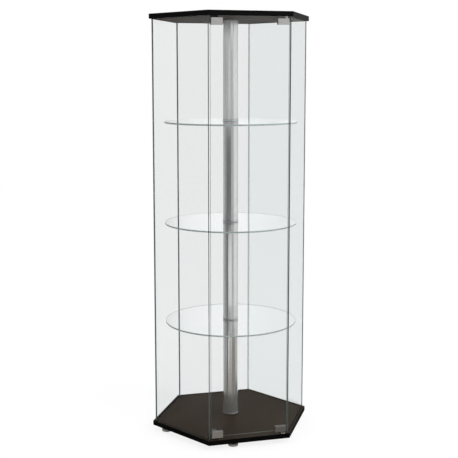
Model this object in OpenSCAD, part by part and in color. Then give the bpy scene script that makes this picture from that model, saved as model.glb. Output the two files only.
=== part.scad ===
// Hexagonal glass curio cabinet with a centre pole and round glass shelves.
// Millimetres. Z is up, the origin is on the floor under the pole, the door faces -Y.

/* [Panels] */
// Centre of the base to one of its corners
corner_r = 325; // [290:1:360]
// Clear height between the base and the top
clear_h = 1600; // [1300:5:1900]
// Thickness of the base and of the top
panel_t = 19; // [18:0.5:25]
// Eased edge round the base and the top
edge_ease = 1.2; // [0.6:0.1:2]

/* [Glass] */
// Thickness of the panes and of the door
glass_t = 5; // [4:0.5:6]
// Edge of the base to the outer face of the glass
glass_inset = 9; // [8:0.5:14]
// Depth of the groove that holds the panes
groove_deep = 6; // [5:0.5:8]
// Wall of the soft channel in the groove
channel_t = 1; // [0.8:0.1:1.5]
// Inner corner of the glass to the end of a pane
pane_end_gap = 1; // [0.8:0.1:2]
// Ground edge on the glass
glass_arris = 0.6; // [0.4:0.1:1]

/* [Shelves] */
// Thickness of a shelf
shelf_t = 6; // [5:0.5:8]
// Rim of a shelf to the inner face of the glass
shelf_gap = 5.5; // [4:0.5:12]
// Radius of the hole in the middle of a shelf
shelf_hole_r = 11; // [10:0.5:14]
// Thickness of the gasket on each side of a shelf
gasket_t = 1; // [0.8:0.1:2]

/* [Pole] */
// Outer radius of the tube
tube_r = 30; // [26:0.5:34]
// Wall of the tube
tube_wall = 1.5; // [1.2:0.1:2.5]
// Height of a collar between tube and shelf
collar_h = 8; // [6:0.5:12]
// How far a collar stands out past the tube
collar_lip = 1; // [0.5:0.1:2]
// Height of the spigot that fills the end of a tube
spigot_h = 12; // [8:0.5:20]
// Radius of the tie rod
rod_r = 5; // [4:0.5:6]
// Across the flats of a rod nut
nut_flats = 17; // [14:0.5:18]
// Height of the six-sided part of a rod nut
nut_h = 7; // [5:0.5:8]
// Thickness of the flange on a rod nut
nut_flange_t = 2; // [1.5:0.1:3]
// Radius of the flange on a rod nut
nut_flange_r = 11; // [10.5:0.5:12.5]
// Radius of the recess for a rod nut
recess_r = 14; // [13:0.5:16]
// Thickness of the cover over the upper nut
cover_t = 2; // [1.5:0.1:3]

/* [Door] */
// Inner corner of the glass to the edge of the door
door_side_gap = 2.5; // [2:0.1:4]
// Width of a clip on the door
clip_w = 44; // [38:1:60]
// Edge of the door to the end of a clip
clip_in = 3; // [2:0.5:5]
// Base or top to the end of a clip
clip_gap = 8; // [6:0.5:12]
// Thickness of a clip's front and back plate
clip_plate = 3.5; // [3:0.1:5]
// Thickness of a clip under the edge of the glass
clip_floor = 4; // [3:0.5:8]
// Eased edge on a clip
clip_ease = 1; // [0.5:0.1:1.5]
// Thickness of the pad between clip and glass
pad_t = 1; // [0.6:0.1:1.5]
// Height of a hinge clip
hinge_clip_h = 22; // [18:0.5:34]
// Height of a strike clip
strike_clip_h = 26; // [22:0.5:38]

/* [Pivot] */
// Edge of the door to the pivot axis
pivot_in = 13.5; // [12:0.5:16]
// Radius of the pivot pin
pin_r = 4; // [3.5:0.1:4.5]
// Radius of the collar on the pivot pin
pin_collar_r = 6.5; // [6:0.1:7]
// Length of pin inside the bush
journal_h = 9; // [7:0.5:11]
// Wall of the bush
bush_wall = 2; // [1.5:0.1:2.5]
// Thickness of the flange on the bush
bush_flange_t = 1.5; // [1.2:0.1:2]
// How far the flange stands out past the bush
bush_flange_lip = 1.5; // [1:0.1:1.8]

/* [Latch] */
// Width of a latch body
latch_w = 18; // [16:0.5:24]
// Wall of a latch body over the plunger
latch_roof = 3; // [2:0.1:5]
// Length of a latch body
latch_len = 46; // [40:1:60]
// Eased edge on a latch body
latch_ease = 1.5; // [0.5:0.1:2]
// Radius of the plunger
plunger_r = 4; // [3:0.1:5]
// Length of plunger inside the latch body
plunger_in = 24; // [18:0.5:30]
// Radius of the magnet on the plunger
magnet_r = 6; // [5.5:0.1:7]
// Thickness of the magnet
magnet_t = 4; // [3:0.1:6]
// How far the plunger presses in
press_travel = 3; // [2:0.1:4]

/* [Feet] */
// Height of the base above the floor
foot_h = 22; // [20:0.5:30]
// Radius of the pale pad of a foot
foot_pad_r = 19.5; // [14:0.5:22]
// Height of the pale pad of a foot
foot_pad_h = 9; // [6:0.5:12]
// Radius of the dark hub of a foot
foot_hub_r = 16; // [10:0.5:18]
// Radius of the foot's threaded stem
stem_r = 4; // [3:0.1:5]
// Length of stem inside the base
stem_in = 14; // [12:0.5:15]
// How far a foot screws out
foot_travel = 8; // [4:0.5:10]
// Side of the base to the ring of the front and back feet
front_ring_in = 34; // [26:0.5:50]
// Turn from +X to the front foot
front_foot_turn = -103; // [-110:1:-98]
// Side of the base to the ring of the left and right feet
left_ring_in = 8; // [6:0.5:40]
// Turn from +X to the left foot
left_foot_turn = -176; // [-184:1:-170]

/* [Clearances] */
// Radial clearance of a turning or sliding pin
run_gap = 0.05; // [0.02:0.01:0.1]
// Radial clearance of a part that drops into place
seat_gap = 0.1; // [0.05:0.01:0.2]
// Clearance of the tie rod in the parts threaded on it
rod_gap = 0.4; // [0.2:0.1:0.8]
// Gap between a part that moves and the face it comes to
stop_gap = 0.4; // [0.3:0.1:0.8]

/* [Hidden] */
$fn = 96;
sides = 6;
side_turn = 360 / sides;
half_turn = side_turn / 2;
big = 2 * corner_r;
over = 1;

// heights
base_z = foot_h;
base_top = base_z + panel_t;
top_z = base_top + clear_h;
top_top = top_z + panel_t;

// planes of the glass, measured from the axis
apothem = corner_r * cos(half_turn);
glass_out = apothem - glass_inset;
glass_in = glass_out - glass_t;
glass_mid = (glass_out + glass_in) / 2;
inner_half = glass_in * tan(half_turn);
pane_half = inner_half - pane_end_gap;
pane_low = base_top - groove_deep + channel_t;
pane_high = top_z + groove_deep - channel_t;

// door and its clips
door_half = inner_half - door_side_gap;
door_low = base_top + clip_gap + clip_floor + pad_t;
door_high = top_z - clip_gap - clip_floor - pad_t;
clip_half = glass_t / 2 + pad_t + clip_plate;
pivot_x = door_half - pivot_in;
hinge_x = door_half - clip_in - clip_w / 2;
strike_x = -hinge_x;

// pivot
bush_r = pin_r + run_gap + bush_wall;
bush_deep = journal_h + over;
bush_flange_r = bush_r + bush_flange_lip;
pin_collar_t = clip_gap - bush_flange_t - stop_gap;

// pole and shelves
shelf_r = glass_in - shelf_gap;
tube_in = tube_r - tube_wall;
spigot_r = tube_in - seat_gap;
collar_r = tube_r + collar_lip;
shelf_count = 3;
tube_count = shelf_count + 1;
joint_h = 2 * collar_h + 2 * gasket_t + shelf_t;
tube_len = (clear_h - 2 * collar_h - shelf_count * joint_h) / tube_count;
pitch = tube_len + joint_h;
recess_deep = nut_h + nut_flange_t + cover_t + over;
recess_low = base_z + recess_deep;
recess_high = top_top - recess_deep;
rod_low = recess_low - nut_flange_t - nut_h - over / 2;
rod_high = recess_high + nut_flange_t + nut_h + over / 2;

// latch, measured along Y behind the strike clip
strike_back = -glass_mid + clip_half;
magnet_front = strike_back + stop_gap;
magnet_back = magnet_front + magnet_t;
latch_front = magnet_back + press_travel + stop_gap;
latch_bore = plunger_in + press_travel + over;
plunger_up = clip_gap + magnet_r;
latch_h = plunger_up + plunger_r + run_gap + latch_roof;

// feet: front and left, and one opposite each, as a ring and a turn from +X
front_ring = apothem - front_ring_in;
left_ring = apothem - left_ring_in;
foot_places = [
  [front_ring, front_foot_turn], [left_ring, left_foot_turn],
  [front_ring, front_foot_turn + 180], [left_ring, left_foot_turn + 180]
];
stem_bore = stem_in + over;

// shared shapes

function to_corner(a) = a / cos(half_turn);

module hexagon(a) {
  circle(r = to_corner(a), $fn = sides);
}

// turns a thing made for the lower end of the door over to the upper end
module upper_end() {
  translate([0, 0, base_top + top_z]) mirror([0, 0, 1]) children();
}

// six-sided board with eased edges
module board(z) {
  small_r = corner_r - edge_ease;
  translate([0, 0, z]) cylinder(r1 = small_r, r2 = corner_r, h = edge_ease, $fn = sides);
  translate([0, 0, z + edge_ease]) cylinder(r = corner_r, h = panel_t - 2 * edge_ease, $fn = sides);
  translate([0, 0, z + panel_t - edge_ease]) cylinder(r1 = corner_r, r2 = small_r, h = edge_ease, $fn = sides);
}

// plan of the groove, round five of the six sides
module groove_plan() {
  difference() {
    hexagon(glass_out + channel_t);
    hexagon(glass_in - channel_t);
    polygon([[0, 0], [-big * sin(half_turn), -big * cos(half_turn)], [big * sin(half_turn), -big * cos(half_turn)]]);
  }
}

// plan of a sheet of glass with ground edges, centred on the middle of the glass
module sheet_plan(half) {
  deep = glass_t / 2;
  polygon([
    [-half + glass_arris, -deep], [half - glass_arris, -deep],
    [half, -deep + glass_arris], [half, deep - glass_arris],
    [half - glass_arris, deep], [-half + glass_arris, deep],
    [-half, deep - glass_arris], [-half, -deep + glass_arris]
  ]);
}

// plan of a fixed pane; turn 0 is the front side
module pane_plan(turn) {
  rotate(turn) translate([0, -glass_mid]) sheet_plan(pane_half);
}

// bed of a fixed pane in the channel, square cornered
module pane_bed(turn) {
  rotate(turn) translate([-pane_half, -glass_out]) square([2 * pane_half, glass_t]);
}

module pane(turn) {
  translate([0, 0, pane_low]) linear_extrude(pane_high - pane_low) pane_plan(turn);
}

// the five sides that carry fixed glass
pane_turns = [for (i = [1:sides - 1]) -i * side_turn];

module channel(z, bed_z) {
  difference() {
    translate([0, 0, z]) linear_extrude(groove_deep) groove_plan();
    for (turn = pane_turns)
      translate([0, 0, bed_z]) linear_extrude(groove_deep) pane_bed(turn);
  }
}

// clear strip that closes the corner at this turn from +X
module corner_strip(turn) {
  inner = to_corner(glass_in);
  outer = to_corner(glass_out);
  end_x = inner - pane_end_gap * sin(half_turn);
  end_y = pane_end_gap * cos(half_turn);
  out_x = end_x + glass_t * cos(half_turn);
  out_y = end_y + glass_t * sin(half_turn);
  rotate(turn) translate([0, 0, base_top]) linear_extrude(clear_h)
    polygon([[inner, 0], [end_x, end_y], [out_x, out_y], [outer, 0], [out_x, -out_y], [end_x, -end_y]]);
}

// height of the underside of a shelf, counted from the lowest
function shelf_z(i) = base_top + collar_h + tube_len + collar_h + gasket_t + i * pitch;

module shelf(i) {
  translate([0, 0, shelf_z(i)]) rotate_extrude()
    polygon([
      [shelf_hole_r, 0], [shelf_r - glass_arris, 0], [shelf_r, glass_arris],
      [shelf_r, shelf_t - glass_arris], [shelf_r - glass_arris, shelf_t], [shelf_hole_r, shelf_t]
    ]);
}

module gasket(i) {
  bore_r = rod_r + rod_gap;
  plug_r = shelf_hole_r - seat_gap;
  rim_r = tube_r - seat_gap;
  high = 2 * gasket_t + shelf_t;
  translate([0, 0, shelf_z(i) - gasket_t]) rotate_extrude()
    polygon([
      [bore_r, 0], [rim_r, 0], [rim_r, gasket_t], [plug_r, gasket_t], [plug_r, gasket_t + shelf_t],
      [rim_r, gasket_t + shelf_t], [rim_r, high], [bore_r, high]
    ]);
}

module tube(i) {
  translate([0, 0, base_top + collar_h + i * pitch]) difference() {
    cylinder(r = tube_r, h = tube_len);
    translate([0, 0, -over]) cylinder(r = tube_in, h = tube_len + 2 * over);
  }
}

// collar with its spigot upward; its foot is at z
module collar(z) {
  bore_r = rod_r + rod_gap;
  ease = collar_lip / 2;
  translate([0, 0, z]) rotate_extrude()
    polygon([
      [bore_r, 0], [collar_r - ease, 0], [collar_r, ease], [collar_r, collar_h - ease],
      [collar_r - ease, collar_h], [spigot_r, collar_h], [spigot_r, collar_h + spigot_h],
      [bore_r, collar_h + spigot_h]
    ]);
}

// collar with its spigot downward; its head is at z
module collar_down(z) {
  translate([0, 0, z]) mirror([0, 0, 1]) collar(0);
}

// flange nut standing on its flange
module rod_nut() {
  difference() {
    union() {
      cylinder(r = nut_flange_r, h = nut_flange_t);
      translate([0, 0, nut_flange_t]) cylinder(r = to_corner(nut_flats / 2), h = nut_h, $fn = sides);
    }
    translate([0, 0, -over]) cylinder(r = rod_r + run_gap, h = nut_flange_t + nut_h + 2 * over);
  }
}

// clip over the lower edge of the door, centred on x
module clip(x, high, with_pin) {
  half = clip_w / 2;
  slot = glass_t + 2 * pad_t;
  translate([x, -glass_mid, base_top + clip_gap]) difference() {
    linear_extrude(high) polygon([
      [-half + clip_ease, -clip_half], [half - clip_ease, -clip_half],
      [half, -clip_half + clip_ease], [half, clip_half - clip_ease],
      [half - clip_ease, clip_half], [-half + clip_ease, clip_half],
      [-half, clip_half - clip_ease], [-half, -clip_half + clip_ease]
    ]);
    translate([-half - over, -slot / 2, clip_floor]) cube([clip_w + 2 * over, slot, high]);
    if (with_pin)
      translate([pivot_x - x, 0, -over]) cylinder(r = pin_r + run_gap, h = clip_floor + 2 * over);
  }
}

// pad between a clip and the edge of the glass
module pad(x, high) {
  half = clip_w / 2 - clip_ease;
  slot = glass_t + 2 * pad_t;
  translate([x - half, -glass_mid, base_top + clip_gap + clip_floor]) difference() {
    translate([0, -slot / 2, 0]) cube([2 * half, slot, high - clip_floor - clip_ease]);
    translate([-over, -glass_t / 2, pad_t]) cube([2 * half + 2 * over, glass_t, high]);
  }
}

// shouldered pin under the lower hinge clip
module pivot_pin() {
  collar_z = base_top + bush_flange_t + stop_gap;
  translate([pivot_x, -glass_mid, 0]) {
    translate([0, 0, base_top + bush_flange_t - journal_h]) cylinder(r = pin_r, h = journal_h + over);
    translate([0, 0, collar_z]) cylinder(r = pin_collar_r, h = pin_collar_t);
    translate([0, 0, collar_z]) cylinder(r = pin_r, h = pin_collar_t + clip_floor - stop_gap);
  }
}

// flanged bush for the pivot pin
module pivot_bush() {
  translate([pivot_x, -glass_mid, base_top]) difference() {
    union() {
      translate([0, 0, -bush_deep]) cylinder(r = bush_r, h = bush_deep + over / 2);
      cylinder(r = bush_flange_r, h = bush_flange_t);
    }
    translate([0, 0, -journal_h]) cylinder(r = pin_r + run_gap, h = journal_h + bush_flange_t + over);
  }
}

// hole in the base for the bush
module bush_hole() {
  translate([pivot_x, -glass_mid, base_top - bush_deep]) cylinder(r = bush_r + run_gap, h = bush_deep + over);
}

// latch body on the base behind the lower strike clip
module latch_body() {
  half = latch_w / 2;
  translate([strike_x, latch_front, base_top]) difference() {
    translate([0, latch_len, 0]) rotate([90, 0, 0]) linear_extrude(latch_len) polygon([
      [-half, 0], [half, 0], [half, latch_h - latch_ease], [half - latch_ease, latch_h],
      [-half + latch_ease, latch_h], [-half, latch_h - latch_ease]
    ]);
    translate([0, -over, plunger_up]) rotate([-90, 0, 0]) cylinder(r = plunger_r + run_gap, h = latch_bore + over);
  }
}

// plunger with its magnet, behind the lower strike clip
module latch_plunger() {
  translate([strike_x, magnet_front, base_top + plunger_up]) rotate([-90, 0, 0]) {
    cylinder(r = magnet_r, h = magnet_t);
    cylinder(r = plunger_r, h = latch_front - magnet_front + plunger_in);
  }
}

// levelling foot with its stem, at this ring and turn
module foot(place) {
  hub_top = foot_h - stop_gap;
  ease = edge_ease;
  rotate(place[1]) translate([place[0], 0, 0]) rotate_extrude() polygon([
    [0, 0], [foot_pad_r - ease, 0], [foot_pad_r, ease], [foot_pad_r, foot_pad_h - ease],
    [foot_pad_r - ease, foot_pad_h], [foot_hub_r, foot_pad_h], [foot_hub_r, hub_top],
    [stem_r, hub_top], [stem_r, foot_h + stem_in], [0, foot_h + stem_in]
  ]);
}

module foot_hole(place) {
  rotate(place[1]) translate([place[0], 0, base_z - over]) cylinder(r = stem_r + run_gap, h = stem_bore + over);
}

// nodes

module base_panel() {
  color("#2a2724") difference() {
    board(base_z);
    translate([0, 0, base_top - groove_deep]) linear_extrude(groove_deep + over) groove_plan();
    translate([0, 0, base_z - over]) cylinder(r = recess_r, h = recess_deep + over);
    translate([0, 0, base_z]) cylinder(r = rod_r + rod_gap, h = panel_t + over);
    bush_hole();
    for (place = foot_places) foot_hole(place);
  }
}

module top_panel() {
  color("#2a2724") difference() {
    board(top_z);
    translate([0, 0, top_z - over]) linear_extrude(groove_deep + over) groove_plan();
    translate([0, 0, recess_high]) cylinder(r = recess_r, h = recess_deep + over);
    translate([0, 0, top_z - over]) cylinder(r = rod_r + rod_gap, h = panel_t + over);
    upper_end() bush_hole();
  }
}

module base_channel() {
  color("#3b3b3b") channel(base_top - groove_deep, pane_low);
}

module top_channel() {
  color("#3b3b3b") channel(top_z, pane_high - groove_deep);
}

module pane_front_left() {
  color("#cfe0da", 0.4) pane(-side_turn);
}

module pane_back_left() {
  color("#cfe0da", 0.4) pane(-2 * side_turn);
}

module pane_back() {
  color("#cfe0da", 0.4) pane(-3 * side_turn);
}

module pane_back_right() {
  color("#cfe0da", 0.4) pane(-4 * side_turn);
}

module pane_front_right() {
  color("#cfe0da", 0.4) pane(-5 * side_turn);
}

module corner_strip_left() {
  color("#b8c4c0", 0.5) corner_strip(3 * side_turn);
}

module corner_strip_back_left() {
  color("#b8c4c0", 0.5) corner_strip(2 * side_turn);
}

module corner_strip_back_right() {
  color("#b8c4c0", 0.5) corner_strip(side_turn);
}

module corner_strip_right() {
  color("#b8c4c0", 0.5) corner_strip(0);
}

module door_glass() {
  color("#cfe0da", 0.4) translate([0, -glass_mid, door_low]) linear_extrude(door_high - door_low) sheet_plan(door_half);
}

module shelf_lower() {
  color("#d8ebe4", 0.5) shelf(0);
}

module shelf_middle() {
  color("#d8ebe4", 0.5) shelf(1);
}

module shelf_upper() {
  color("#d8ebe4", 0.5) shelf(2);
}

module tube_1() {
  color("#c4c6c8") tube(0);
}

module tube_2() {
  color("#c4c6c8") tube(1);
}

module tube_3() {
  color("#c4c6c8") tube(2);
}

module tube_4() {
  color("#c4c6c8") tube(3);
}

module collar_base() {
  color("#b4b6b8") collar(base_top);
}

module collar_top() {
  color("#b4b6b8") collar_down(top_z);
}

module collar_under_lower() {
  color("#b4b6b8") collar_down(shelf_z(0) - gasket_t);
}

module collar_under_middle() {
  color("#b4b6b8") collar_down(shelf_z(1) - gasket_t);
}

module collar_under_upper() {
  color("#b4b6b8") collar_down(shelf_z(2) - gasket_t);
}

module collar_over_lower() {
  color("#b4b6b8") collar(shelf_z(0) + shelf_t + gasket_t);
}

module collar_over_middle() {
  color("#b4b6b8") collar(shelf_z(1) + shelf_t + gasket_t);
}

module collar_over_upper() {
  color("#b4b6b8") collar(shelf_z(2) + shelf_t + gasket_t);
}

module gasket_lower() {
  color("#c9cccb") gasket(0);
}

module gasket_middle() {
  color("#c9cccb") gasket(1);
}

module gasket_upper() {
  color("#c9cccb") gasket(2);
}

module tie_rod() {
  color("#9a9c9e") translate([0, 0, rod_low]) cylinder(r = rod_r, h = rod_high - rod_low);
}

module rod_nut_lower() {
  color("#9a9c9e") translate([0, 0, recess_low]) mirror([0, 0, 1]) rod_nut();
}

module rod_nut_upper() {
  color("#9a9c9e") translate([0, 0, recess_high]) rod_nut();
}

module rod_cover() {
  color("#242220") translate([0, 0, top_top - cover_t]) cylinder(r = recess_r - seat_gap, h = cover_t);
}

module hinge_clip_lower() {
  color("#b9b9b6") clip(hinge_x, hinge_clip_h, true);
}

module hinge_clip_upper() {
  color("#b9b9b6") upper_end() clip(hinge_x, hinge_clip_h, true);
}

module hinge_pad_lower() {
  color("#303030") pad(hinge_x, hinge_clip_h);
}

module hinge_pad_upper() {
  color("#303030") upper_end() pad(hinge_x, hinge_clip_h);
}

module pivot_pin_lower() {
  color("#8c8c8a") pivot_pin();
}

module pivot_pin_upper() {
  color("#8c8c8a") upper_end() pivot_pin();
}

module pivot_bush_lower() {
  color("#e6e4de") pivot_bush();
}

module pivot_bush_upper() {
  color("#e6e4de") upper_end() pivot_bush();
}

module strike_clip_lower() {
  color("#b9b9b6") clip(strike_x, strike_clip_h, false);
}

module strike_clip_upper() {
  color("#b9b9b6") upper_end() clip(strike_x, strike_clip_h, false);
}

module strike_pad_lower() {
  color("#303030") pad(strike_x, strike_clip_h);
}

module strike_pad_upper() {
  color("#303030") upper_end() pad(strike_x, strike_clip_h);
}

module latch_body_lower() {
  color("#262626") latch_body();
}

module latch_body_upper() {
  color("#262626") upper_end() latch_body();
}

module latch_plunger_lower() {
  color("#5a5a5a") latch_plunger();
}

module latch_plunger_upper() {
  color("#5a5a5a") upper_end() latch_plunger();
}

module foot_1() {
  color("#6e6c68") foot(foot_places[0]);
}

module foot_2() {
  color("#6e6c68") foot(foot_places[1]);
}

module foot_3() {
  color("#6e6c68") foot(foot_places[2]);
}

module foot_4() {
  color("#6e6c68") foot(foot_places[3]);
}

base_panel();
top_panel();
base_channel();
top_channel();
pane_front_left();
pane_back_left();
pane_back();
pane_back_right();
pane_front_right();
corner_strip_left();
corner_strip_back_left();
corner_strip_back_right();
corner_strip_right();
door_glass();
shelf_lower();
shelf_middle();
shelf_upper();
tube_1();
tube_2();
tube_3();
tube_4();
collar_base();
collar_top();
collar_under_lower();
collar_under_middle();
collar_under_upper();
collar_over_lower();
collar_over_middle();
collar_over_upper();
gasket_lower();
gasket_middle();
gasket_upper();
tie_rod();
rod_nut_lower();
rod_nut_upper();
rod_cover();
hinge_clip_lower();
hinge_clip_upper();
hinge_pad_lower();
hinge_pad_upper();
pivot_pin_lower();
pivot_pin_upper();
pivot_bush_lower();
pivot_bush_upper();
strike_clip_lower();
strike_clip_upper();
strike_pad_lower();
strike_pad_upper();
latch_body_lower();
latch_body_upper();
latch_plunger_lower();
latch_plunger_upper();
foot_1();
foot_2();
foot_3();
foot_4();
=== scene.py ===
import logging
import math
from dataclasses import dataclass, field
from enum import Enum
from functools import cache
from typing import Any, Optional

import bmesh
import bpy
from mathutils import Matrix, Vector


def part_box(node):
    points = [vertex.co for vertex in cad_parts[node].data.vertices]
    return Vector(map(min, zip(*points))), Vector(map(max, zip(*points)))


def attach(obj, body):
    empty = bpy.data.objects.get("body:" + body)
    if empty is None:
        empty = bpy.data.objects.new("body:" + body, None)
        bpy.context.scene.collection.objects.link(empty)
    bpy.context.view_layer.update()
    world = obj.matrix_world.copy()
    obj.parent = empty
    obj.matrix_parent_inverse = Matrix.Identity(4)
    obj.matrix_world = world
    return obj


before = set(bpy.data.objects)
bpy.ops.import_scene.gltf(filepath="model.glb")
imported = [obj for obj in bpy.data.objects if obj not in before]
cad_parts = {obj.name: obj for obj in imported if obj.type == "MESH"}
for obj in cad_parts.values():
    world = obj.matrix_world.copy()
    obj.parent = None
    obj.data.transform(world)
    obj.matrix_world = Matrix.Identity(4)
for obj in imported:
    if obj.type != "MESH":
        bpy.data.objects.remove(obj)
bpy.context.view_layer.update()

MM = 0.001
WHITE = "#ffffff"
LOG = logging.getLogger("curio_cabinet")

Tree = bpy.types.NodeTree
Socket = bpy.types.NodeSocket
Span = tuple[float, float]
Triple = tuple[float, float, float]

# Noise keeps near its middle, so tones and roughness run between these of its values.
TONE_SPAN: Span = (0.35, 0.65)
ROUGH_SPAN: Span = (0.3, 0.7)


class Body(Enum):
    """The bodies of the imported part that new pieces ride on."""

    CABINET = "cabinet"
    DOOR = "door"


class End(Enum):
    """The two ends of the door, which mirror each other."""

    LOWER = "lower"
    UPPER = "upper"


# Helpers


def linear(hex_colour: str) -> tuple[float, float, float, float]:
    """Turns an sRGB hex colour to linear light.

    Args:
        hex_colour: six hex digits after a hash sign.

    Returns:
        Red, green, blue and an alpha of 1.
    """
    parts = [int(hex_colour[i : i + 2], 16) / 255 for i in (1, 3, 5)]
    low = [p / 12.92 if p <= 0.04045 else ((p + 0.055) / 1.055) ** 2.4 for p in parts]
    return (low[0], low[1], low[2], 1.0)


def per_metre(size_mm: float) -> float:
    """Gives a texture's scale on Object coordinates for a pattern of this size."""
    return 1.0 / (size_mm * MM)


def level_direction(turn_deg: float) -> Triple:
    """Gives the level direction at this turn from +X."""
    return (math.cos(math.radians(turn_deg)), math.sin(math.radians(turn_deg)), 0.0)


def standing(point: Vector, outward: Vector) -> Matrix:
    """Gives the place of a thing that stands at a point with its Z outward."""
    return Matrix.Translation(point) @ outward.to_track_quat("Z", "Y").to_matrix().to_4x4()


def add(
    tree: Tree,
    kind: str,
    inputs: Optional[dict[Any, Any]] = None,
    stops: tuple[tuple[float, str], ...] = (),
    **settings: Any,
) -> bpy.types.Node:
    """Adds one node with its settings, and values or links for its inputs.

    Args:
        tree: the node tree that gets the node.
        kind: the node's type.
        inputs: socket name or number to a value, or to the output that feeds it.
        stops: position and hex colour of the two stops, where the node has a ramp.
        settings: the node's own properties.

    Returns:
        The new node.
    """
    node = tree.nodes.new(kind)
    for key, value in settings.items():
        setattr(node, key, value)
    for key, value in (inputs or {}).items():
        if isinstance(value, Socket):
            tree.links.new(value, node.inputs[key])
        else:
            node.inputs[key].default_value = value
    for i, (position, colour) in enumerate(stops):
        node.color_ramp.elements[i].position = position
        node.color_ramp.elements[i].color = linear(colour)
    return node


def clear_to_lamps(tree: Tree, shown: Socket, clear: Socket) -> Socket:
    """Lets light through to what stands behind a see-through surface.

    Args:
        tree: the material's tree.
        shown: the shader that the eye meets.
        clear: the transparent shader that shadow rays meet.

    Returns:
        The joined shader's output.
    """
    path = add(tree, "ShaderNodeLightPath")
    both = add(
        tree, "ShaderNodeMixShader", {0: path.outputs["Is Shadow Ray"], 1: shown, 2: clear}
    )
    return both.outputs[0]


def in_sight(tree: Tree) -> Socket:
    """Tells what is looked at from what only lights the cabinet.

    Args:
        tree: the tree of a material or the world.

    Returns:
        An output of 1 for what shows to the camera, in metal or through glass, and else 0.
    """
    path = add(tree, "ShaderNodeLightPath")
    seen = path.outputs["Is Camera Ray"]
    for ray in ("Is Glossy Ray", "Is Transmission Ray"):
        either = add(
            tree, "ShaderNodeMath", {0: seen, 1: path.outputs[ray]}, operation="MAXIMUM"
        )
        seen = either.outputs[0]
    return seen


def verts_of(geom: list[Any]) -> list[bmesh.types.BMVert]:
    """Picks the vertices out of what a bmesh operator returns."""
    return [item for item in geom if isinstance(item, bmesh.types.BMVert)]


def faces_of(geom: list[Any]) -> list[bmesh.types.BMFace]:
    """Picks the faces out of what a bmesh operator returns."""
    return [item for item in geom if isinstance(item, bmesh.types.BMFace)]


def link_object(name: str, bm: bmesh.types.BMesh) -> bpy.types.Object:
    """Makes a finished bmesh an object of the scene, with its place in its mesh.

    Args:
        name: the piece's name.
        bm: the mesh, which is freed.

    Returns:
        The object, at the origin.
    """
    bmesh.ops.recalc_face_normals(bm, faces=bm.faces[:])
    mesh = bpy.data.meshes.new(name)
    bm.to_mesh(mesh)
    bm.free()
    piece = bpy.data.objects.new(name, mesh)
    bpy.context.scene.collection.objects.link(piece)
    return piece


# Finishes


@dataclass(frozen=True)
class Finish:
    """A named material that knows how to make itself."""

    name: str

    def make(self) -> bpy.types.Material:
        """Makes the material and its output, with the shader that shade() gives.

        Returns:
            The material.
        """
        made = bpy.data.materials.new(self.name)
        made.use_nodes = True
        tree = made.node_tree
        tree.nodes.clear()
        add(tree, "ShaderNodeOutputMaterial", {"Surface": self.shade(tree)})
        return made

    def shade(self, tree: Tree) -> Socket:
        """Gives the surface shader; each finish has its own."""
        raise NotImplementedError


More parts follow.
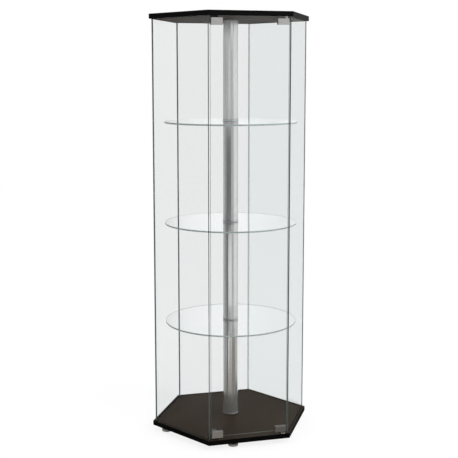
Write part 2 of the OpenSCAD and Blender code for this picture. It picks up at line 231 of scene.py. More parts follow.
@dataclass(frozen=True)
class LacqueredBoard(Finish):
    """Fibreboard under a satin black-brown foil: soft sheen, faint grain, and upright faces painted
    near black as shade.
    """

    face: str = "#3d3329"
    face_grain: str = "#332a21"
    # Painted shade: the near-black colour of every upright face.
    edge: str = "#030303"
    grain_mm: float = 7.0
    grain_long_mm: float = 150.0
    grain_detail: float = 4.0
    grain_crispness: float = 0.6
    cloud_mm: float = 90.0
    cloud_detail: float = 2.0
    # Grain times cloud runs lower than either noise alone.
    tone_span: Span = (0.12, 0.42)
    # Painted shade: upright faces take the near-black edge colour, and the foil takes over as the
    # surface turns level.
    side_shade_span: Span = (0.75, 0.97)
    roughness: float = 0.6
    rough_swing: Span = (-0.05, 0.07)
    bump: float = 0.12
    bump_mm: float = 0.2
    gloss: float = 0.07

    def shade(self, tree: Tree) -> Socket:
        """Builds the board's shader.

        Args:
            tree: the material's tree.

        Returns:
            The shader's output.
        """
        spot = add(tree, "ShaderNodeTexCoord")
        # Real pores are near 0.3 mm and too fine to show, so the grain is drawn as coarse streaks.
        stretched = add(
            tree,
            "ShaderNodeMapping",
            {
                "Vector": spot.outputs["Object"],
                "Scale": (self.grain_mm / self.grain_long_mm, 1.0, 1.0),
            },
        )
        grain = add(
            tree,
            "ShaderNodeTexNoise",
            {
                "Vector": stretched.outputs[0],
                "Scale": per_metre(self.grain_mm),
                "Detail": self.grain_detail,
                "Roughness": self.grain_crispness,
            },
        )
        cloud = add(
            tree,
            "ShaderNodeTexNoise",
            {
                "Vector": spot.outputs["Object"],
                "Scale": per_metre(self.cloud_mm),
                "Detail": self.cloud_detail,
            },
        )
        both = add(
            tree, "ShaderNodeMath", {0: grain.outputs[0], 1: cloud.outputs[0]}, operation="MULTIPLY"
        )
        tone = add(
            tree,
            "ShaderNodeValToRGB",
            {"Fac": both.outputs[0]},
            stops=((self.tone_span[0], self.face_grain), (self.tone_span[1], self.face)),
        )
        # Painted shade: the upright faces are painted near black, and the level faces show the
        # foil.
        facing = add(tree, "ShaderNodeSeparateXYZ", {0: spot.outputs["Normal"]})
        level = add(tree, "ShaderNodeMath", {0: facing.outputs["Z"]}, operation="ABSOLUTE")
        level_unshaded = add(
            tree,
            "ShaderNodeMapRange",
            {
                "Value": level.outputs[0],
                "From Min": self.side_shade_span[0],
                "From Max": self.side_shade_span[1],
            },
            interpolation_type="SMOOTHSTEP",
        )
        colour = add(
            tree,
            "ShaderNodeMix",
            {"Factor": level_unshaded.outputs[0], "A": linear(self.edge), "B": tone.outputs["Color"]},
            data_type="RGBA",
        )
        rough = add(
            tree,
            "ShaderNodeMapRange",
            {
                "Value": grain.outputs[0],
                "From Min": ROUGH_SPAN[0],
                "From Max": ROUGH_SPAN[1],
                "To Min": self.roughness + self.rough_swing[0],
                "To Max": self.roughness + self.rough_swing[1],
            },
        )
        bump = add(
            tree,
            "ShaderNodeBump",
            {"Height": grain.outputs[0], "Strength": self.bump, "Distance": self.bump_mm * MM},
        )
        shader = add(
            tree,
            "ShaderNodeBsdfPrincipled",
            {
                "Base Color": colour.outputs["Result"],
                "Roughness": rough.outputs[0],
                "Normal": bump.outputs[0],
                "Specular IOR Level": self.gloss,
            },
        )
        return shader.outputs[0]


@dataclass(frozen=True)
class FloatGlass(Finish):
    """Clear float glass with ground edges: near invisible faces, matt grey-green edges."""

    face_normals: tuple[Triple, ...]
    face: str = "#f3f4f4"
    ior: float = 1.52
    edge: str = "#4c5653"
    edge_worn: str = "#5e6865"
    edge_rough: float = 0.5
    edge_cover: float = 1.0
    # Cosines of the turn away from the nearest face, from the last clear to the first ground glass.
    edge_span: Span = (0.995, 0.98)
    chip_mm: float = 8.0
    smear_mm: float = 140.0
    smear_span: Span = (0.45, 0.75)
    smear_rough: float = 0.012
    noise_detail: float = 3.0

    def on_edge(self, tree: Tree, spot: bpy.types.Node) -> Socket:
        """Tells the edges of the glass from its faces.

        Args:
            tree: the material's tree.
            spot: the Texture Coordinate node.

        Returns:
            An output of 0 on the faces, and on the edges the share that is ground.
        """
        facing: Optional[Socket] = None
        for normal in self.face_normals:
            along = add(
                tree,
                "ShaderNodeVectorMath",
                {0: spot.outputs["Normal"], 1: normal},
                operation="DOT_PRODUCT",
            )
            size = add(tree, "ShaderNodeMath", {0: along.outputs["Value"]}, operation="ABSOLUTE")
            if facing is None:
                facing = size.outputs[0]
            else:
                nearer = add(
                    tree, "ShaderNodeMath", {0: facing, 1: size.outputs[0]}, operation="MAXIMUM"
                )
                facing = nearer.outputs[0]
        edge = add(
            tree,
            "ShaderNodeMapRange",
            {
                "Value": facing,
                "From Min": self.edge_span[0],
                "From Max": self.edge_span[1],
                "To Max": self.edge_cover,
            },
        )
        return edge.outputs[0]

    def shade(self, tree: Tree) -> Socket:
        """Builds the glass, clear on its faces and ground on its edges.

        Args:
            tree: the material's tree.

        Returns:
            The shader's output.
        """
        spot = add(tree, "ShaderNodeTexCoord")
        smear = add(
            tree,
            "ShaderNodeTexNoise",
            {
                "Vector": spot.outputs["Object"],
                "Scale": per_metre(self.smear_mm),
                "Detail": self.noise_detail,
            },
        )
        rough = add(
            tree,
            "ShaderNodeMapRange",
            {
                "Value": smear.outputs[0],
                "From Min": self.smear_span[0],
                "From Max": self.smear_span[1],
                "To Max": self.smear_rough,
            },
        )
        glass = add(
            tree,
            "ShaderNodeBsdfPrincipled",
            {
                "Base Color": linear(self.face),
                "Roughness": rough.outputs[0],
                "IOR": self.ior,
                "Transmission Weight": 1.0,
            },
        )
        # Chips from grinding are under 1 mm and too fine to show, so they are drawn coarser.
        chips = add(
            tree,
            "ShaderNodeTexNoise",
            {
                "Vector": spot.outputs["Object"],
                "Scale": per_metre(self.chip_mm),
                "Detail": self.noise_detail,
            },
        )
        tone = add(
            tree,
            "ShaderNodeValToRGB",
            {"Fac": chips.outputs[0]},
            stops=((TONE_SPAN[0], self.edge), (TONE_SPAN[1], self.edge_worn)),
        )
        ground = add(
            tree,
            "ShaderNodeBsdfPrincipled",
            {"Base Color": tone.outputs["Color"], "Roughness": self.edge_rough},
        )
        sheet = add(
            tree,
            "ShaderNodeMixShader",
            {0: self.on_edge(tree, spot), 1: glass.outputs[0], 2: ground.outputs[0]},
        )
        clear = add(tree, "ShaderNodeBsdfTransparent", {"Color": linear(self.face)})
        return clear_to_lamps(tree, sheet.outputs[0], clear.outputs[0])


@dataclass(frozen=True)
class ClearStrip(Finish):
    """Clear flexible plastic, extruded: milky against the glass, with faint lengthwise streaks."""

    pale: str = "#c4c8c8"
    streak: str = "#adb3b3"
    streak_mm: float = 2.0
    streak_detail: float = 1.0
    drawn_out: Triple = (1.0, 1.0, 0.01)
    roughness: float = 0.28
    ior: float = 1.49
    see_through: float = 0.75
    clarity: float = 0.0

    def shade(self, tree: Tree) -> Socket:
        """Builds the strip's shader.

        Args:
            tree: the material's tree.

        Returns:
            The shader's output.
        """
        spot = add(tree, "ShaderNodeTexCoord")
        drawn = add(
            tree,
            "ShaderNodeMapping",
            {"Vector": spot.outputs["Object"], "Scale": self.drawn_out},
        )
        # Marks of the die are near 0.1 mm and too fine to show, so they are drawn coarser.
        streaks = add(
            tree,
            "ShaderNodeTexNoise",
            {
                "Vector": drawn.outputs[0],
                "Scale": per_metre(self.streak_mm),
                "Detail": self.streak_detail,
            },
        )
        tone = add(
            tree,
            "ShaderNodeValToRGB",
            {"Fac": streaks.outputs[0]},
            stops=((TONE_SPAN[0], self.streak), (TONE_SPAN[1], self.pale)),
        )
        shader = add(
            tree,
            "ShaderNodeBsdfPrincipled",
            {
                "Base Color": tone.outputs["Color"],
                "Roughness": self.roughness,
                "IOR": self.ior,
                "Transmission Weight": self.see_through,
            },
        )
        shown = shader.outputs[0]
        clear = add(tree, "ShaderNodeBsdfTransparent", {"Color": linear(self.pale)}).outputs[0]
        if self.clarity > 0.0:
            thinned = add(tree, "ShaderNodeMixShader", {0: self.clarity, 1: shown, 2: clear})
            shown = thinned.outputs[0]
        return clear_to_lamps(tree, shown, clear)


@dataclass(frozen=True)
class Metal(Finish):
    """Plated or bare metal: mirror or satin, with the streaks that its polishing left."""

    bright: str = "#e6e6e6"
    dull: str = "#e0e0df"
    roughness: float = 0.22
    rough_swing: float = 0.008
    streak_mm: float = 4.0
    streak_detail: float = 3.0
    stretch: Triple = (1.0, 1.0, 1.0)
    bump: float = 0.0
    bump_mm: float = 0.05
    metallic: float = 1.0

    def shade(self, tree: Tree) -> Socket:
        """Builds the metal's shader.

        Args:
            tree: the material's tree.

        Returns:
            The shader's output.
        """
        spot = add(tree, "ShaderNodeTexCoord")
        drawn = add(
            tree, "ShaderNodeMapping", {"Vector": spot.outputs["Object"], "Scale": self.stretch}
        )
        # Polishing marks are near 0.1 mm and too fine to show, so they are drawn millimetres apart.
        marks = add(
            tree,
            "ShaderNodeTexNoise",
            {
                "Vector": drawn.outputs[0],
                "Scale": per_metre(self.streak_mm),
                "Detail": self.streak_detail,
            },
        )
        tone = add(
            tree,
            "ShaderNodeValToRGB",
            {"Fac": marks.outputs[0]},
            stops=((TONE_SPAN[0], self.dull), (TONE_SPAN[1], self.bright)),
        )
        rough = add(
            tree,
            "ShaderNodeMapRange",
            {
                "Value": marks.outputs[0],
                "From Min": ROUGH_SPAN[0],
                "From Max": ROUGH_SPAN[1],
                "To Min": self.roughness + self.rough_swing,
                "To Max": self.roughness - self.rough_swing,
            },
        )
        surface: dict[str, Any] = {
            "Base Color": tone.outputs["Color"],
            "Roughness": rough.outputs[0],
            "Metallic": self.metallic,
        }
        if self.bump > 0.0:
            bump = add(
                tree,
                "ShaderNodeBump",
                {"Height": marks.outputs[0], "Strength": self.bump, "Distance": self.bump_mm * MM},
            )
            surface["Normal"] = bump.outputs[0]
        return add(tree, "ShaderNodeBsdfPrincipled", surface).outputs[0]


@dataclass(frozen=True)
class Moulded(Finish):
    """Moulded plastic or rubber: fine spark-eroded or matt texture that breaks up its sheen."""

    colour: str = "#1b1b1b"
    worn: str = "#242424"
    # Wear shows on the highest part of the texture alone.
    worn_span: Span = (0.35, 0.7)
    roughness: float = 0.55
    rough_swing: float = 0.08
    texture_mm: float = 1.5
    texture_detail: float = 3.0
    bump: float = 0.15
    bump_mm: float = 0.1
    gloss: float = 0.4

    def tone(self, tree: Tree, spot: bpy.types.Node, pits: bpy.types.Node) -> Socket:
        """Gives the colour over the surface.

        Args:
            tree: the material's tree.
            spot: the Texture Coordinate node, not used here.
            pits: the noise of the moulded texture.

        Returns:
            A colour output.
        """
        tone = add(
            tree,
            "ShaderNodeValToRGB",
            {"Fac": pits.outputs[0]},
            stops=((self.worn_span[0], self.colour), (self.worn_span[1], self.worn)),
        )
        return tone.outputs["Color"]

    def shade(self, tree: Tree) -> Socket:
        """Builds the plastic's shader.

        Args:
            tree: the material's tree.

        Returns:
            The shader's output.
        """
        spot = add(tree, "ShaderNodeTexCoord")
        # The moulded texture is near 0.2 mm and too fine to show, so it is drawn coarser.
        pits = add(
            tree,
            "ShaderNodeTexNoise",
            {
                "Vector": spot.outputs["Object"],
                "Scale": per_metre(self.texture_mm),
                "Detail": self.texture_detail,
            },
        )
        rough = add(
            tree,
            "ShaderNodeMapRange",
            {
                "Value": pits.outputs[0],
                "From Min": ROUGH_SPAN[0],
                "From Max": ROUGH_SPAN[1],
                "To Min": self.roughness - self.rough_swing,
                "To Max": self.roughness + self.rough_swing,
            },
        )
        bump = add(
            tree,
            "ShaderNodeBump",
            {"Height": pits.outputs[0], "Strength": self.bump, "Distance": self.bump_mm * MM},
        )
        shader = add(
            tree,
            "ShaderNodeBsdfPrincipled",
            {
                "Base Color": self.tone(tree, spot, pits),
                "Roughness": rough.outputs[0],
                "Normal": bump.outputs[0],
                "Specular IOR Level": self.gloss,
            },
        )
        return shader.outputs[0]


@dataclass(frozen=True)
class TwoToneFoot(Moulded):
    """Moulded foot: a dark hub over a pale grey pad, parted at the pad's upper edge."""

    pad: str = "#b9b7b2"
    pad_dust: str = "#a5a29c"
    pad_top_mm: float = 9.1

    def tone(self, tree: Tree, spot: bpy.types.Node, pits: bpy.types.Node) -> Socket:
        """Gives the two colours by height.

        Args:
            tree: the material's tree.
            spot: the Texture Coordinate node.
            pits: the noise of the moulded texture.

        Returns:
            A colour output.
        """
        hub = super().tone(tree, spot, pits)
        pale = add(
            tree,
            "ShaderNodeValToRGB",
            {"Fac": pits.outputs[0]},
            stops=((TONE_SPAN[0], self.pad_dust), (TONE_SPAN[1], self.pad)),
        )
        place = add(tree, "ShaderNodeSeparateXYZ", {0: spot.outputs["Object"]})
        above = add(
            tree,
            "ShaderNodeMath",
            {0: place.outputs["Z"], 1: self.pad_top_mm * MM},
            operation="GREATER_THAN",
        )
        colour = add(
            tree,
            "ShaderNodeMix",
            {"Factor": above.outputs[0], "A": pale.outputs["Color"], "B": hub},
            data_type="RGBA",
        )
        return colour.outputs["Result"]


# The six sides stand in three parallel pairs.
PANE_NORMALS = (level_direction(90), level_direction(30), level_direction(150))
SHELF_NORMALS = ((0.0, 0.0, 1.0),)


class Stock(Enum):
    """Every finish on the cabinet, made once."""

    # Foil on fibreboard: near black and warm, with a broad soft sheen and no mirror image; its
    # upright faces are painted darker still as shade.
    BOARD = LacqueredBoard("satin_black_brown_foil")
    # Thin clear panes. Glass has an index of 1.52, but these hardly mirror the base.
    PANE = FloatGlass("clear_float_glass", PANE_NORMALS, face="#f3f4f4", ior=1.12)
    # The same glass, a little bluer, with a fifth of the dark edge colour: painted light that keeps
    # the shaded corner line faint.
    REAR_PANE = FloatGlass(
        "float_glass_with_lightened_edge", PANE_NORMALS, face="#eef1f1", ior=1.12, edge_cover=0.2
    )
    # Coated against glare, for the two panes that are met nearly edge-on and still mirror nothing.
    SIDE_PANE = FloatGlass("low_glare_float_glass", PANE_NORMALS, face="#f5f6f6", ior=1.03)
    # Purer glass with a pale rim, so a shelf shows as a thin light ellipse.
    SHELF = FloatGlass(
        "clear_shelf_glass", SHELF_NORMALS, face="#fdfefe", edge="#96a19d", edge_worn="#a9b4b0"
    )
    # Milky strip that shows each closed corner as a thin grey line.
    STRIP = ClearStrip("clear_extruded_vinyl")
    # Paler, clearer copy of the strip beside that pane: painted light that keeps the shaded corner
    # line the faintest.
    REAR_STRIP = ClearStrip(
        "lightened_extruded_vinyl", pale="#e9ecec", streak="#dde1e1", clarity=0.85
    )
    # Bright plate under a thin haze, which keeps the pole's foot paler than the base it mirrors.
    CHROME = Metal(
        "polished_chrome_plate",
        roughness=0.16,
        streak_mm=5.0,
        stretch=(1.0, 1.0, 0.04),
        metallic=0.85,
    )
    # Turned rings, a shade darker than the tubes, with marks that run round them.
    COLLAR = Metal(
        "turned_chrome_plate", bright="#dcdddd", dull="#cbcccd", stretch=(0.1, 0.1, 1.0)
    )
    # Satin plate: neutral grey, brushed along the clip, with blurred highlights.
    NICKEL = Metal(
        "satin_nickel_plate",
        bright="#b2b1af",
        dull="#9f9e9c",
        roughness=0.3,
        rough_swing=0.03,
        streak_mm=1.0,
        stretch=(0.04, 1.0, 1.0),
        bump=0.03,
    )
    # Bluish plating with a blotchy, broken sheen.
    ZINC = Metal(
        "zinc_plated_steel", bright="#b9bcc0", dull="#93979d", roughness=0.35, rough_swing=0.1
    )
    # Bare steel, with the rings that a turning tool leaves.
    PIN = Metal(
        "turned_steel",
        bright="#b0b0ae",
        dull="#8f8f8d",
        roughness=0.25,
        streak_mm=1.0,
        stretch=(0.1, 0.1, 1.0),
    )
    # Darker ground steel, dull and even.
    MAGNET = Metal(
        "ground_magnet_steel", bright="#8e8f91", dull="#747578", roughness=0.32, streak_mm=2.0
    )
    # Soft clear washer that reads as pale grey under the chrome.
    WASHER = Moulded(
        "clear_soft_vinyl", colour="#c2c6c5", worn="#d2d5d4", roughness=0.4, gloss=0.5
    )
    # Matt black with hardly any sheen, so the channels pass for shadow.
    RUBBER = Moulded("black_rubber", colour="#1c1c1c", worn="#292929", roughness=0.75, gloss=0.25)
    # Black moulding with a fine texture and a weak sheen.
    LATCH = Moulded("black_moulded_abs", colour="#151515", worn="#1f1f1f", roughness=0.5)
    # Push-in cap in the board's own colour.
    CAP = Moulded(
        "black_brown_polythene_cap",
        colour="#2b251e",
        worn="#332c24",
        roughness=0.6,
        texture_mm=2.0,
        gloss=0.1,
    )
    # Smooth, slightly creamy white.
    NYLON = Moulded("white_nylon", colour="#d9d7d0", worn="#e6e4de", roughness=0.45, bump=0.08)
    # Waxy plastic: dark above, pale grey and dusty where it meets the floor.
    FOOT = TwoToneFoot("two_tone_polythene", colour="#191817", worn="#232120", texture_mm=2.5)


@cache
def material(stock: Stock) -> bpy.types.Material:
    """Gives a finish's material, made the first time it is asked for."""
    return stock.value.make()


def dress_node(name: str, stock: Stock) -> None:
    """Puts a finish on every material slot of a CAD node.

    Args:
        name: the node's name.
        stock: the finish.
    """
    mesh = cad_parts[name].data
    if not mesh.materials:
        mesh.materials.append(material(stock))
    for i in range(len(mesh.materials)):
        mesh.materials[i] = material(stock)
    LOG.info("dressed %s in %s", name, stock.value.name)


def dress_piece(piece: bpy.types.Object, stock: Stock, body: Body) -> None:
    """Puts a finish on a new piece and fixes the piece to its body.

    Args:
        piece: the new piece.
        stock: its finish.
        body: the body it moves with.
    """
    piece.data.materials.append(material(stock))
    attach(piece, body.value)
    LOG.info("built %s on %s", piece.name, body.value)


# Small fasteners


@dataclass
class SocketScrew:
    """Low button-head screw with a six-sided socket, made standing on the XY plane."""

    head_r: float = 3.0 * MM
    head_h: float = 1.5 * MM
    shoulder_share: float = 0.55
    dome_r: float = 2.2 * MM
    socket_r: float = 1.25 * MM
    socket_deep: float = 0.9 * MM
    round_sides: int = 24
    socket_sides: int = 6
    slot: str = "rod_steel"

    def add_to(self, bm: bmesh.types.BMesh, place: Matrix) -> None:
        """Adds one screw head to a mesh.

        Args:
            bm: the mesh.
            place: where the head stands, with its Z outward.
        """
        before = set(bm.verts)
        foot = bmesh.ops.create_circle(
            bm, segments=self.round_sides, radius=self.head_r, cap_ends=True
        )
        base = foot["verts"][0].link_faces[0]
        wall = bmesh.ops.extrude_face_region(bm, geom=[base])["geom"]
        shoulder_h = self.head_h * self.shoulder_share
        bmesh.ops.translate(bm, verts=verts_of(wall), vec=(0, 0, shoulder_h))
        shoulder = faces_of(wall)
        dome = bmesh.ops.extrude_face_region(bm, geom=shoulder)["geom"]
        bmesh.ops.delete(bm, geom=shoulder, context="FACES_ONLY")
        bmesh.ops.translate(bm, verts=verts_of(dome), vec=(0, 0, self.head_h - shoulder_h))
        shrink = self.dome_r / self.head_r
        bmesh.ops.scale(bm, verts=verts_of(dome), vec=(shrink, shrink, 1))
        lid = faces_of(dome)
        rim = list(lid[0].edges)
        bmesh.ops.delete(bm, geom=lid, context="FACES_ONLY")
        hole = bmesh.ops.create_circle(
            bm, segments=self.socket_sides, radius=self.socket_r, cap_ends=True
        )
        bmesh.ops.translate(bm, verts=hole["verts"], vec=(0, 0, self.head_h))
        floor = hole["verts"][0].link_faces[0]
        bmesh.ops.bridge_loops(bm, edges=rim + list(floor.edges))
        sunk = bmesh.ops.extrude_face_region(bm, geom=[floor])["geom"]
        bmesh.ops.delete(bm, geom=[floor], context="FACES_ONLY")
        bmesh.ops.translate(bm, verts=verts_of(sunk), vec=(0, 0, -self.socket_deep))
        new = [vert for vert in bm.verts if vert not in before]
        bmesh.ops.transform(bm, matrix=place, verts=new)


# Sub-assemblies


@dataclass
class Shell:
    """Base, top, soft channels, fixed panes and the strips in their corners."""

    boards: tuple[str, ...] = ("base_panel", "top_panel")
    channels: tuple[str, ...] = ("base_channel", "top_channel")
    panes: tuple[str, ...] = ("pane_front_left", "pane_back")
    coated_panes: tuple[str, ...] = ("pane_back_left", "pane_front_right")
    # Painted light: a copy of the pane glass with a lighter edge, against the shade on the back
    # right corner line.
    lightened_edge_panes: tuple[str, ...] = ("pane_back_right",)
    strips: tuple[str, ...] = (
        "corner_strip_left",
        "corner_strip_back_left",
        "corner_strip_right",
    )
    # Painted light: a paler, clearer copy of the strip, against the shade on the back right corner
    # line.
    lightened_strips: tuple[str, ...] = ("corner_strip_back_right",)

    def dress(self) -> None:
        """Dresses the boards, channels, panes and strips."""
        for names, stock in (
            (self.boards, Stock.BOARD),
            (self.channels, Stock.RUBBER),
            (self.panes, Stock.PANE),
            (self.coated_panes, Stock.SIDE_PANE),
            (self.lightened_edge_panes, Stock.REAR_PANE),
            (self.strips, Stock.STRIP),
            (self.lightened_strips, Stock.REAR_STRIP),
        ):
            for name in names:
                dress_node(name, stock)


@dataclass
class Pole:
    """Chrome tubes, their collars, the shelves on them and the rod that ties them together."""

    tubes: int = 4
    levels: tuple[str, ...] = ("lower", "middle", "upper")
    end_collars: tuple[str, ...] = ("collar_base", "collar_top")
    rod_and_nuts: tuple[str, ...] = ("tie_rod", "rod_nut_lower", "rod_nut_upper")
    cover: str = "rod_cover"

    def dress(self) -> None:
        """Dresses the pole and its shelves."""
        for i in range(self.tubes):
            dress_node(f"tube_{i + 1}", Stock.CHROME)
        for name in self.end_collars:
            dress_node(name, Stock.COLLAR)
        for level in self.levels:
            dress_node(f"collar_under_{level}", Stock.COLLAR)
            dress_node(f"collar_over_{level}", Stock.COLLAR)
            dress_node(f"gasket_{level}", Stock.WASHER)
            dress_node(f"shelf_{level}", Stock.SHELF)
        for name in self.rod_and_nuts:
            dress_node(name, Stock.ZINC)
        dress_node(self.cover, Stock.CAP)


@dataclass
class Door:
    """Glass door with its clips, pads and pivots, and the screws that close the clips."""

    screw: SocketScrew = field(default_factory=SocketScrew)
    screw_spread: float = 14.0 * MM
    screw_from_end: float = 8.0 * MM
    glass: str = "door_glass"
    kinds: tuple[str, ...] = ("hinge", "strike")

    def build(self) -> None:
        """Builds the screws on the inner plate of each clip."""
        inward = Vector((0, 1, 0))
        for kind in self.kinds:
            for end in End:
                low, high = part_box(f"{kind}_clip_{end.value}")
                middle = (low.x + high.x) / 2
                if end is End.LOWER:
                    z = high.z - self.screw_from_end
                else:
                    z = low.z + self.screw_from_end
                bm = bmesh.new()
                for side in (-1, 1):
                    point = Vector((middle + side * self.screw_spread, high.y, z))
                    self.screw.add_to(bm, standing(point, inward))
                piece = link_object(f"{kind}_clip_screws_{end.value}", bm)
                dress_piece(piece, Stock.ZINC, Body.DOOR)

    def dress(self) -> None:
        """Dresses the glass, clips, pads, pins and bushes."""
        dress_node(self.glass, Stock.PANE)
        for end in End:
            for kind in self.kinds:
                dress_node(f"{kind}_clip_{end.value}", Stock.NICKEL)
                dress_node(f"{kind}_pad_{end.value}", Stock.RUBBER)
            dress_node(f"pivot_pin_{end.value}", Stock.PIN)
            dress_node(f"pivot_bush_{end.value}", Stock.NYLON)


def latch_screw() -> SocketScrew:
    """Gives the smaller screw that holds a latch down."""
    return SocketScrew(head_r=2.6 * MM, dome_r=1.9 * MM, head_h=1.2 * MM)


@dataclass
class Latches:
    """Push latches behind the strike clips, with the screws that hold them down."""

    screw: SocketScrew = field(default_factory=latch_screw)
    screw_spread: float = 4.6 * MM
    screw_from_back: float = 8.0 * MM

    def build(self) -> None:
        """Builds two screws on each latch body."""
        for end in End:
            low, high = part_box(f"latch_body_{end.value}")
            middle = (low.x + high.x) / 2
            y = high.y - self.screw_from_back
            if end is End.LOWER:
                z, outward = high.z, Vector((0, 0, 1))
            else:
                z, outward = low.z, Vector((0, 0, -1))
            bm = bmesh.new()
            for side in (-1, 1):
                point = Vector((middle + side * self.screw_spread, y, z))
                self.screw.add_to(bm, standing(point, outward))
            piece = link_object(f"latch_screws_{end.value}", bm)
            dress_piece(piece, Stock.ZINC, Body.CABINET)

    def dress(self) -> None:
        """Dresses the bodies and plungers."""
        for end in End:
            dress_node(f"latch_body_{end.value}", Stock.LATCH)
            dress_node(f"latch_plunger_{end.value}", Stock.MAGNET)


@dataclass
class Feet:
    """Levelling feet under the base."""

    count: int = 4

    def dress(self) -> None:
        """Dresses the feet in their two tones."""
        for i in range(self.count):
            dress_node(f"foot_{i + 1}", Stock.FOOT)


# Studio


@dataclass(frozen=True)
class PaleFloor(Finish):
    """Studio floor: white to look at with a faint shadow, and pale grey for the light it gives."""

    tone: str = "#d8d8d8"
    glow: float = 0.84
    shadow_share: float = 0.2

    def shade(self, tree: Tree) -> Socket:
        """Builds the floor's shader.

        Args:
            tree: the material's tree.

        Returns:
            The shader's output.
        """
        plain = add(tree, "ShaderNodeBsdfDiffuse", {"Color": linear(self.tone)})
        share = self.shadow_share
        shaded = add(tree, "ShaderNodeBsdfDiffuse", {"Color": (share, share, share, 1.0)})
        glow = add(
            tree, "ShaderNodeEmission", {"Color": linear(WHITE), "Strength": self.glow}
        )
        lit = add(tree, "ShaderNodeAddShader", {0: shaded.outputs[0], 1: glow.outputs[0]})
        both = add(
            tree,
            "ShaderNodeMixShader",
            {0: in_sight(tree), 1: plain.outputs[0], 2: lit.outputs[0]},
        )
        return both.outputs[0]


@dataclass(frozen=True)
class Patch:
    """A soft-edged patch of the surround, by its turn in degrees and its rise in metres.

    Rise is height up the wall, and on the floor, where it is below zero, distance in from the wall.
    """

    tone: float
    turn: Span
    rise: Span
    soft_turn: float = 10.0
    soft_rise: float = 0.08
    tint: str = WHITE

    def colour(self) -> tuple[float, float, float, float]:
        """Gives the patch's light, its tone times its tint."""
        red, green, blue, alpha = linear(self.tint)
        return (self.tone * red, self.tone * green, self.tone * blue, alpha)


WARM = "#fff4e8"
# Tubes are counted from the base up, and sides are as the camera sees them.
PATCHES = (
    # First tube: a grey foot, from the floor round the cabinet.
    Patch(0.5, (-70.0, 130.0), (-1.5, -0.5), soft_rise=0.12, tint=WARM),
    # The left edge of the whole pole.
    Patch(0.6, (-106.0, -52.0), (-1.5, 1.7), soft_turn=6.0),
    # First tube: a dark band right of its middle, and a paler one further right.
    Patch(0.22, (76.0, 138.0), (-1.5, 0.1), soft_turn=6.0, tint=WARM),
    Patch(0.5, (142.0, 172.0), (-1.5, 0.1), soft_turn=6.0, tint=WARM),
    # A grey band on the left: first tube, fourth tube, and the two between them.
    Patch(0.32, (-48.0, -14.0), (-1.5, 0.12), soft_turn=6.0),
    Patch(0.46, (-48.0, -14.0), (1.2, 1.64), soft_turn=6.0),
    Patch(0.36, (-48.0, 4.0), (0.12, 1.19), soft_turn=6.0),
    # Third tube: a broad dark band. First and second tubes: a narrow one.
    Patch(0.1, (-4.0, 74.0), (0.62, 1.19)),
    Patch(0.1, (-6.0, 24.0), (-1.5, 0.66), soft_turn=8.0),
    # First tube: a warm grey middle.
    Patch(0.42, (40.0, 68.0), (-1.5, 0.05), soft_turn=8.0, soft_rise=0.12, tint=WARM),
    # Fourth tube: a grey front with a bright streak.
    Patch(0.56, (-10.0, 96.0), (1.19, 1.6)),
    Patch(0.85, (24.0, 56.0), (1.19, 1.62), soft_turn=8.0),
    # Second and third tubes: a grey band right of the middle.
    Patch(0.45, (80.0, 106.0), (0.15, 1.25), soft_rise=0.15),
    # What the faces of the shelves mirror.
    Patch(1.2, (-132.0, -108.0), (0.5, 1.55)),
    # The right edge of the whole pole, and the front right pane.
    Patch(0.75, (-178.0, -146.0), (-1.5, 1.9)),
    # A little more light on both ends of the back left pane and on the upper shelf's right end.
    Patch(1.5, (-150.0, -134.0), (1.2, 1.75), soft_turn=5.0),
    Patch(1.5, (-150.0, -134.0), (-0.7, 0.1), soft_turn=5.0),
    # The foot of the front right pane, which stays dark over the base.
    Patch(0.04, (138.0, 190.0), (-1.3, -0.7), soft_turn=6.0),
    # The pole's upper end, close under the top.
    Patch(0.15, (-60.0, 60.0), (1.66, 2.1), soft_rise=0.02),
)


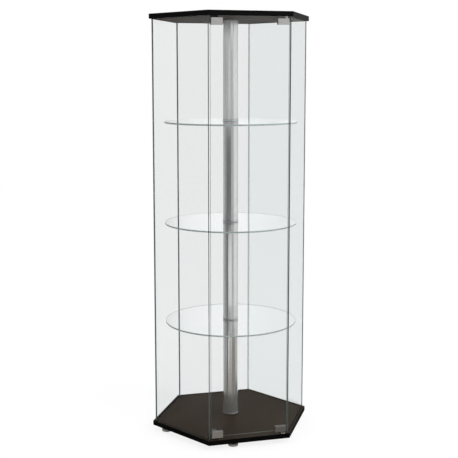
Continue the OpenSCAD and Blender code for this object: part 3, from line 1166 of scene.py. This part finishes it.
@dataclass(frozen=True)
class ReflectedSurround(Finish):
    """Soft light and dark that only reflections meet: white but for its patches."""

    radius: float = 1.3
    turn_deg: float = 165.36
    patches: tuple[Patch, ...] = PATCHES
    # Glossy Depth counts mirrors on the way, so half a mirror parts none from one or more.
    mirrors: float = 0.5

    def tone(self, tree: Tree) -> Socket:
        """Gives the surround's light, each patch laid over those before it.

        Args:
            tree: the material's tree.

        Returns:
            A colour output.
        """
        spot = add(tree, "ShaderNodeTexCoord")
        turned = add(
            tree,
            "ShaderNodeMapping",
            {
                "Vector": spot.outputs["Object"],
                "Rotation": (0.0, 0.0, math.radians(self.turn_deg)),
            },
        )
        parts = add(tree, "ShaderNodeSeparateXYZ", {0: turned.outputs[0]})
        angle = add(
            tree,
            "ShaderNodeMath",
            {0: parts.outputs["Y"], 1: parts.outputs["X"]},
            operation="ARCTAN2",
        )
        turn = add(tree, "ShaderNodeMath", {0: angle.outputs[0]}, operation="DEGREES")
        level = add(
            tree,
            "ShaderNodeMapping",
            {"Vector": spot.outputs["Object"], "Scale": (1.0, 1.0, 0.0)},
        )
        out = add(tree, "ShaderNodeVectorMath", {0: level.outputs[0]}, operation="LENGTH")
        inward = add(
            tree,
            "ShaderNodeMath",
            {0: out.outputs["Value"], 1: self.radius},
            operation="SUBTRACT",
        )
        rise = add(
            tree, "ShaderNodeMath", {0: parts.outputs["Z"], 1: inward.outputs[0]}, operation="ADD"
        )
        tone: Any = linear(WHITE)
        for patch in self.patches:
            inside: Optional[Socket] = None
            for value, (low, high), soft in (
                (turn.outputs[0], patch.turn, patch.soft_turn),
                (rise.outputs[0], patch.rise, patch.soft_rise),
            ):
                for edge, half in ((low, soft), (high, -soft)):
                    step = add(
                        tree,
                        "ShaderNodeMapRange",
                        {"Value": value, "From Min": edge - half, "From Max": edge + half},
                        interpolation_type="SMOOTHSTEP",
                    )
                    if inside is None:
                        inside = step.outputs[0]
                    else:
                        both = add(
                            tree,
                            "ShaderNodeMath",
                            {0: inside, 1: step.outputs[0]},
                            operation="MULTIPLY",
                        )
                        inside = both.outputs[0]
            laid = add(
                tree,
                "ShaderNodeMix",
                {"Factor": inside, "A": tone, "B": patch.colour()},
                data_type="RGBA",
            )
            tone = laid.outputs["Result"]
        return tone

    def shade(self, tree: Tree) -> Socket:
        """Builds a shader that glows to reflected rays and is clear to all others.

        Args:
            tree: the material's tree.

        Returns:
            The shader's output.
        """
        path = add(tree, "ShaderNodeLightPath")
        reflected = add(
            tree,
            "ShaderNodeMath",
            {0: path.outputs["Glossy Depth"], 1: self.mirrors},
            operation="GREATER_THAN",
        )
        clear = add(tree, "ShaderNodeBsdfTransparent")
        glow = add(tree, "ShaderNodeEmission", {"Color": self.tone(tree)})
        both = add(
            tree,
            "ShaderNodeMixShader",
            {0: reflected.outputs[0], 1: clear.outputs[0], 2: glow.outputs[0]},
        )
        return both.outputs[0]


@dataclass
class Studio:
    """Pale floor, plain soft light, a surround that polished surfaces reflect, and the camera."""

    round_sides: int = 96
    floor_r: float = 9.0
    floor_paint: PaleFloor = PaleFloor("pale_studio_floor")
    surround_paint: ReflectedSurround = ReflectedSurround("studio_surround")
    surround_h: float = 2.0
    surround_hole_r: float = 0.02
    surround_lift: float = 0.002
    sky_light: float = 0.8
    sky_seen: float = 1.0
    key_power: float = 55.0
    key_size: float = 2.6
    key_place: Triple = (1.9, -2.6, 3.4)
    key_aim: Triple = (0.0, 0.0, 0.7)
    camera_place: Triple = (-1.0157, -3.699, 1.425)
    camera_pitch_deg: float = 7.98
    camera_yaw_deg: float = 15.26
    camera_lens: float = 75.71
    camera_shift: float = -0.04

    def set_camera(self) -> None:
        """Sets the camera at the photograph's angle."""
        lens = bpy.data.cameras.new("photo_camera")
        lens.lens = self.camera_lens
        lens.shift_y = self.camera_shift
        camera = bpy.data.objects.new("photo_camera", lens)
        camera.location = self.camera_place
        tilt = math.radians(90 - self.camera_pitch_deg)
        camera.rotation_euler = (tilt, 0.0, math.radians(-self.camera_yaw_deg))
        bpy.context.scene.collection.objects.link(camera)
        bpy.context.scene.camera = camera

    def light_world(self) -> None:
        """Lights the scene evenly, and shows white to the camera and to metal and glass."""
        world = bpy.data.worlds.new("even_studio")
        bpy.context.scene.world = world
        world.use_nodes = True
        tree = world.node_tree
        tree.nodes.clear()
        soft, white = [
            add(tree, "ShaderNodeBackground", {"Color": linear(WHITE), "Strength": strength})
            for strength in (self.sky_light, self.sky_seen)
        ]
        both = add(
            tree,
            "ShaderNodeMixShader",
            {0: in_sight(tree), 1: soft.outputs[0], 2: white.outputs[0]},
        )
        add(tree, "ShaderNodeOutputWorld", {"Surface": both.outputs[0]})

    def lay_floor(self) -> None:
        """Lays a pale floor that keeps a faint shadow."""
        bm = bmesh.new()
        bmesh.ops.create_circle(bm, segments=self.round_sides, radius=self.floor_r, cap_ends=True)
        floor = link_object("studio_floor", bm)
        if floor.data.polygons[0].normal.z < 0:
            floor.data.flip_normals()
        floor.data.materials.append(self.floor_paint.make())

    def stand_surround(self) -> None:
        """Stands a round wall and its floor about the cabinet, for reflections alone."""
        radius = self.surround_paint.radius
        bm = bmesh.new()
        hole = bm.verts.new((self.surround_hole_r, 0.0, self.surround_lift))
        foot = bm.verts.new((radius, 0.0, self.surround_lift))
        head = bm.verts.new((radius, 0.0, self.surround_h))
        lines = [bm.edges.new((hole, foot)), bm.edges.new((foot, head))]
        bmesh.ops.spin(
            bm,
            geom=[hole, foot, head, *lines],
            axis=(0, 0, 1),
            cent=(0, 0, 0),
            angle=math.tau,
            steps=self.round_sides,
            use_merge=True,
        )
        wall = link_object("studio_surround", bm)
        wall.data.materials.append(self.surround_paint.make())

    def hang_key(self) -> None:
        """Hangs one large soft lamp in front, above and to the right."""
        lamp = bpy.data.lights.new("soft_key", "AREA")
        lamp.shape = "SQUARE"
        lamp.size = self.key_size
        lamp.energy = self.key_power
        key = bpy.data.objects.new("soft_key", lamp)
        place = Vector(self.key_place)
        key.matrix_world = standing(place, place - Vector(self.key_aim))
        bpy.context.scene.collection.objects.link(key)

    def build(self) -> None:
        """Builds the whole studio."""
        bpy.context.scene.view_settings.view_transform = "Standard"
        self.set_camera()
        self.light_world()
        self.lay_floor()
        self.stand_surround()
        self.hang_key()
        LOG.info("studio is set")


def main() -> None:
    """Builds and dresses the cabinet in order."""
    logging.basicConfig(level=logging.INFO, format="%(name)s: %(message)s")
    Studio().build()
    Shell().dress()
    Pole().dress()
    door = Door()
    door.build()
    door.dress()
    latches = Latches()
    latches.build()
    latches.dress()
    Feet().dress()


if __name__ == "__main__":
    main()
